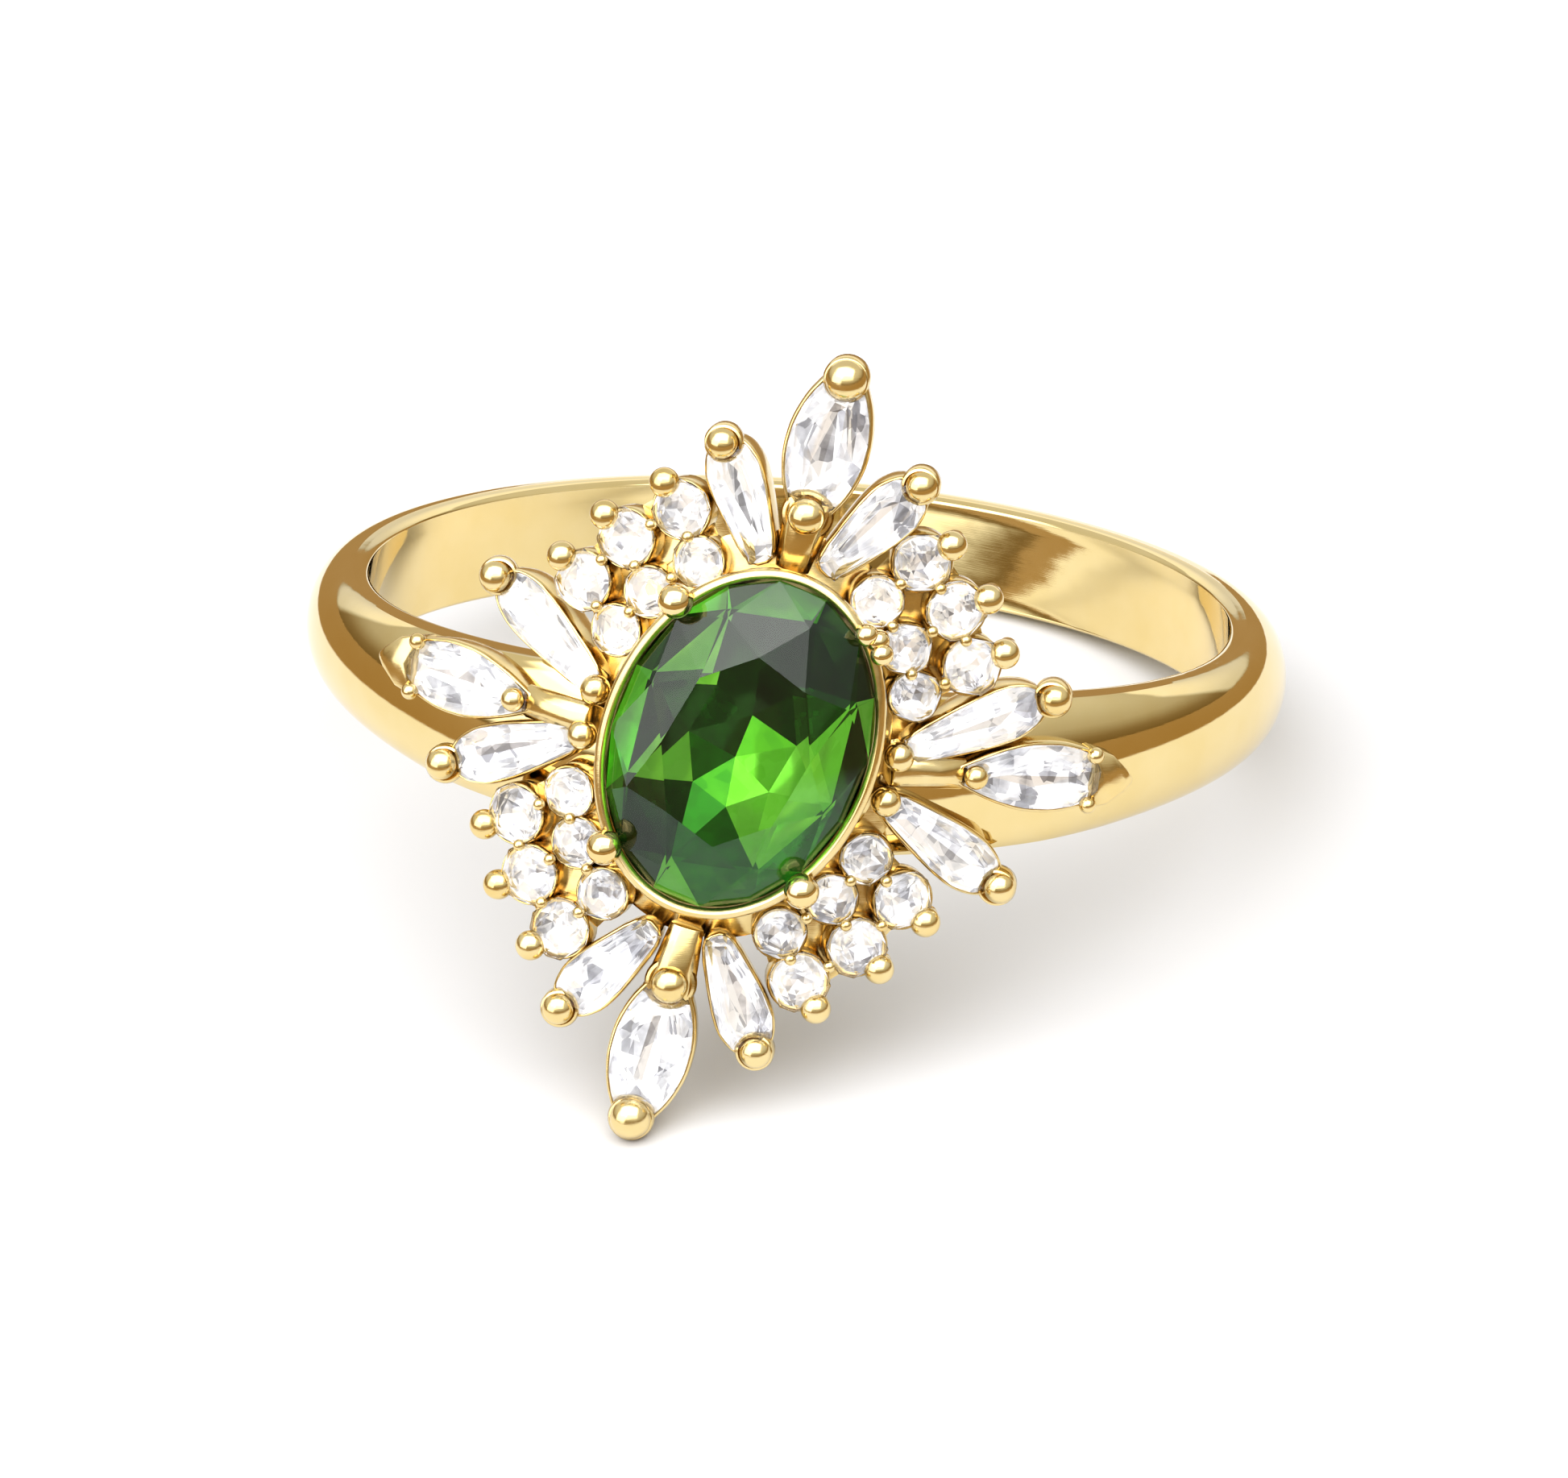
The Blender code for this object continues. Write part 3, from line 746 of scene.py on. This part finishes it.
def cup(u, v, radius, depth=0.5, rise=0.0):
    """The round foot of gold that a claw stands in."""
    up = head_normal(u)
    place = frame_of(head_point(u, v), Vector((1, 0, 0)), up)
    profile = ((0, rise - 0.06), (0.7 * radius, rise - 0.04), (0.82 * radius, rise + 0.02),
               (0.93 * radius, rise), (radius, rise - 0.07), (0.98 * radius, -0.2),
               (0.6 * radius, -depth), (0, -depth))
    return turned(profile, place, 32)


def tip_cap(size, place):
    """A leaf-shaped claw folded over the outer tip of a marquise, with a small prong at each side."""
    length, width = size
    points = []
    corners = (
        (0.36, 0.46, 0.06, -0.4), (0.5, 0.38, 0.13, -0.4),
        (0.62, 0.17, 0.15, -0.35), (0.68, 0.04, 0.12, -0.25),
    )
    for x, y, high, low in corners:
        for side in (-y, y):
            points += [Vector((x * length, side * width, z)) for z in (high, low)]
    points += [Vector((0.43 * length, 0, 0.22)), Vector((0.6 * length, 0, 0.23))]
    solids = [placed(softened(hull(points), 0.07, 3), place)]
    for side in (-1, 1):
        tip = place @ Matrix.Translation((0.35 * length, side * 0.38 * width, 0.14))
        solids.append(turned(bead_profile(PRONG_BEAD, 0.11, 0.5), tip, 20))
    return solids


for name, (du, dv) in {"n": (0, 1), "e": (1, 0), "s": (0, -1), "w": (-1, 0)}.items():
    lengthwise = dv != 0
    size = MARQUISE_NS if lengthwise else MARQUISE_EW
    inner, outer = NS_CLAWS if lengthwise else EW_CLAWS
    tail_at = NS_TAIL if lengthwise else EW_TAIL
    inner, outer, tail = (
        (du * r, dv * r + du * EW_ARM_SLOPE * r) for r in (inner, outer, tail_at)
    )
    place = head_frame(inner, outer)
    inward = (place.inverted() @ head_point(*tail)).x
    depth = PAVILION if lengthwise else SHOULDER_PAVILION
    outline = marquise if lengthwise else arm_marquise
    cut = crushed(outline(*size, 0.0, 9), CROWN, depth, (0.74, 0.52), 0.25 * size[0], light=FACET_PAINTED_LIGHT)
    show_clear(f"marquise_{name}", placed(cut, place, STONE_TILT))
    solids = [rim(lambda grow: outline(*size, grow), place)]
    if lengthwise:
        solids.append(leaf(place, -0.4 * size[0], inward, 0.54, 0.34, 0.07))
        solids += [head_claw(*inner, MEDIUM_BEAD), head_claw(*outer, LARGE_BEAD)]
        solids += [cup(*outer, 0.46, rise=CUP_RISE), cup(*inner, 0.52)]
    else:
        solids.append(leaf(place, -0.6 * size[0], inward, 0.34, 0.34))
        solids.append(head_claw(*inner, ARM_BEAD))
        solids += tip_cap(size, place)
    show_gold(f"marquise_seat_{name}", join(solids))

# --- tapered baguettes and their seats -------------------------------------------------------

STICK_SECTION = tuple((0.75 * grow, z) for grow, z in RIM_SECTION)

for quadrant, (su, sv) in QUADRANTS.items():
    kinds = zip(
        BAGUETTE_NAMES[quadrant], (BAGUETTE_NS_ENDS, BAGUETTE_EW_ENDS), (BAGUETTE_NS, BAGUETTE_EW)
    )
    for name, (inner, outer), size in kinds:
        inner = (su * inner[0], sv * inner[1])
        outer = (su * outer[0], sv * outer[1])
        place = head_frame(inner, outer)
        depth = SHOULDER_PAVILION if size is BAGUETTE_EW else PAVILION
        light = NW_BAGUETTE_PAINTED_LIGHT if quadrant == "nw" else FACET_PAINTED_LIGHT
        cut = crushed(baguette(*size), CROWN, depth, (0.84, 0.6), 0.3 * size[0], light=light)
        show_clear(f"baguette_{name}", placed(cut, place, STONE_TILT))
        solids = [
            rim(lambda grow: baguette(*size, grow), place, STICK_SECTION),
            head_claw(*outer, BAGUETTE_BEAD),
            cup(*outer, 0.39, rise=CUP_RISE),
        ]
        if size is BAGUETTE_EW:
            solids.append(head_claw(*inner, SMALL_BEAD))
        show_gold(f"baguette_seat_{name}", join(solids))

# --- round stones and their plates -----------------------------------------------------------

COLLAR_SECTION = (
    (-0.01, -0.1), (0.0, -0.03), (0.015, -0.005), (0.035, -0.005), (0.055, -0.03), (0.065, -0.08),
    (0.06, -0.45), (0.0, -0.6), (-0.15, -0.6), (-0.16, -0.3), (-0.1, -0.16),
)


NEIGHBOURS = ((0, 1), (1, 2), (3, 4), (4, 5), (0, 3), (1, 4), (2, 5))  # a grain stands between


def cushion(radius, count=12, square=0.13):
    """A circle that is a little square, as a list of points."""
    outline = []
    for x, y in ellipse(radius, radius, count):
        a = math.atan2(y, x)
        grow = 1 - square * math.cos(4 * a)
        outline.append((grow * x, grow * y))
    return outline


def footing(places):
    """The plate under a cluster, which fills the gaps between its stones."""
    points = []
    for u, v, diameter in places:
        place = spot_frame(u, v)
        for x, y in ellipse(0.5 * diameter, 0.5 * diameter, 16):
            for scale, z in ((0.8, -0.44), (0.7, -0.56)):
                points.append(place @ Vector((scale * x, scale * y, z)))
    return softened(hull(points), 0.03, 2)


for quadrant, (su, sv) in QUADRANTS.items():
    places = [(su * u, sv * v, OUTER_ROUND_D) for u, v in OUTER_ROUNDS]
    places += [(su * u, sv * v, INNER_ROUND_D) for u, v in INNER_ROUNDS]
    solids = []
    for number, (u, v, diameter) in enumerate(places, 1):
        place = spot_frame(u, v)
        scale = diameter / OUTER_ROUND_D
        light = NW_ROUND_PAINTED_LIGHT if quadrant == "nw" else ROUND_PAINTED_LIGHT
        cut = crushed(
            cushion(0.53 * diameter), 0.22 * scale, PAVILION * scale, (0.55, 0.55), light=light
        )
        cut.transform(Matrix.Rotation(random.uniform(0, math.pi), 4, "Z"))
        show_clear(f"round_stone_{quadrant}_{number}", placed(cut, place, ROUND_TILT))
        radius = diameter / 2
        solids.append(
            rim(lambda grow: ellipse(radius + grow, radius + grow, 36), place, COLLAR_SECTION, 0)
        )
    solids.append(footing(places))
    for u, v in ROUND_CLAWS:
        solids.append(head_claw(su * u, sv * v, SMALL_BEAD, PLATE_DEPTH))
    for a, b in NEIGHBOURS:
        (ua, va, _), (ub, vb, _) = places[a], places[b]
        solids.append(head_claw((ua + ub) / 2, (va + vb) / 2, GRAIN_BEAD, PLATE_DEPTH))
    show_gold(f"round_plate_{quadrant}", join(solids))

# --- table, light and camera -----------------------------------------------------------------


def table_top():
    """A white table; beyond a set distance from its middle, mirrored rays see it painted brown: a
    painted dark reflection in the polished gold, like a dim room.
    """
    bm = bmesh.new()
    bmesh.ops.create_grid(bm, x_segments=8, y_segments=8, size=1.5)
    mesh = bpy.data.meshes.new("table_top")
    bm.to_mesh(mesh)
    bm.free()
    material, nodes, shader = new_material("white_table")
    place = nodes.add("ShaderNodeTexCoord").outputs["Object"]
    grain = nodes.noise(place, 40.0, 3.0)
    tone = nodes.ramp(grain, ((0.3, (0.60, 0.605, 0.625)), (0.7, (0.62, 0.625, 0.645))))
    far = nodes.add("ShaderNodeVectorMath", {0: place}, operation="LENGTH").outputs["Value"]
    beyond = nodes.add(
        "ShaderNodeMapRange", {"Value": far, "From Min": DARK_REFLECTION_RADIUS, "From Max": DARK_REFLECTION_RADIUS + 0.0015}
    )
    # painted dark reflection: only mirrored rays see the brown
    mirrored = nodes.add("ShaderNodeLightPath").outputs["Is Glossy Ray"]
    dark_reflection_mask = nodes.math("MULTIPLY", beyond.outputs["Result"], mirrored)
    shown = nodes.add("ShaderNodeMix", {"Factor": dark_reflection_mask}, data_type="RGBA")
    material.node_tree.links.new(tone, shown.inputs["A"])
    # the brown of the painted dark reflection
    shown.inputs["B"].default_value = (0.23, 0.145, 0.05, 1.0)
    material.node_tree.links.new(shown.outputs["Result"], shader.inputs["Base Color"])
    shader.inputs["Roughness"].default_value = 0.85
    shader.inputs["Specular IOR Level"].default_value = 0.2
    mesh.materials.append(material)
    obj = bpy.data.objects.new("table_top", mesh)
    bpy.context.scene.collection.objects.link(obj)


table_top()


def compass(azimuth, elevation):
    """A direction: azimuth 0 is towards the front (-Y) and grows to the right, in degrees."""
    a, e = math.radians(azimuth), math.radians(elevation)
    return Vector((math.sin(a) * math.cos(e), -math.cos(a) * math.cos(e), math.sin(e)))


def studio():
    """The light: a dim room with soft panels of light, as seen from the ring."""
    world = bpy.data.worlds.new("studio")
    bpy.context.scene.world = world
    world.use_nodes = True
    nodes = Nodes(world.node_tree)
    out = world.node_tree.nodes["Background"]
    toward = nodes.add("ShaderNodeTexCoord").outputs["Generated"]

    def along(axis):
        dot = nodes.add("ShaderNodeVectorMath", {0: toward}, operation="DOT_PRODUCT")
        dot.inputs[1].default_value = axis
        return dot.outputs["Value"]

    def panel(azimuth, elevation, half_wide, half_high, strength, soft=0.12):
        """A soft-edged rectangle in the sky, with half sizes in degrees."""
        face = compass(azimuth, elevation)
        side = compass(azimuth + 90, 0)
        top = side.cross(face)
        if top.z < 0:
            top = -top
        front = along(face)
        shares = []
        for axis, half in ((side, half_wide), (top, half_high)):
            limit = math.tan(math.radians(half))
            ratio = nodes.math("DIVIDE", nodes.math("ABSOLUTE", along(axis)), front)
            span = {"From Min": limit * (1 - soft), "From Max": limit * (1 + soft)}
            fade = nodes.add(
                "ShaderNodeMapRange",
                {"Value": ratio, **span, "To Min": 1.0, "To Max": 0.0},
                interpolation_type="SMOOTHSTEP",
            )
            shares.append(fade.outputs["Result"])
        ahead = nodes.math("GREATER_THAN", front, 0.01)
        both = nodes.math("MULTIPLY", nodes.math("MULTIPLY", *shares), ahead)
        return nodes.math("MULTIPLY", both, strength)

    height = along(Vector((0, 0, 1)))
    sky = ((0.0, 0.25), (0.07, 0.32), (0.22, 0.62), (0.5, 0.84), (1.0, 0.8))
    total = nodes.ramp(height, [(up, (light, light, light)) for up, light in sky])
    for values in (
        (-48, 27, 26, 24, 1.9),
        (14, 42, 30, 18, 1.5),
        (0, 72, 42, 25, 2.7),
        (180, 12, 40, 12, 0.6),
    ):
        total = nodes.math("ADD", total, panel(*values))
    world.node_tree.links.new(total, out.inputs["Strength"])
    warmth = (
        (0.25, (1.0, 0.68, 0.28)),
        (0.5, (1.0, 0.88, 0.66)),
        (0.75, (1.0, 0.97, 0.9)),
        (1.0, (1.0, 0.99, 0.98)),
    )
    world.node_tree.links.new(nodes.ramp(total, warmth), out.inputs["Color"])


studio()

camera = bpy.data.cameras.new("camera")
camera.lens = 343.1
camera.clip_start = 0.01
camera_object = bpy.data.objects.new("camera", camera)
camera_object.location = (0.04447, -0.25142, 0.15893)
camera_object.rotation_euler = [math.radians(a) for a in (58.43, 4.26, 7.45)]
bpy.context.scene.collection.objects.link(camera_object)
bpy.context.scene.camera = camera_object
bpy.context.scene.view_settings.view_transform = "Standard"
bpy.context.scene.view_settings.gamma = 0.93
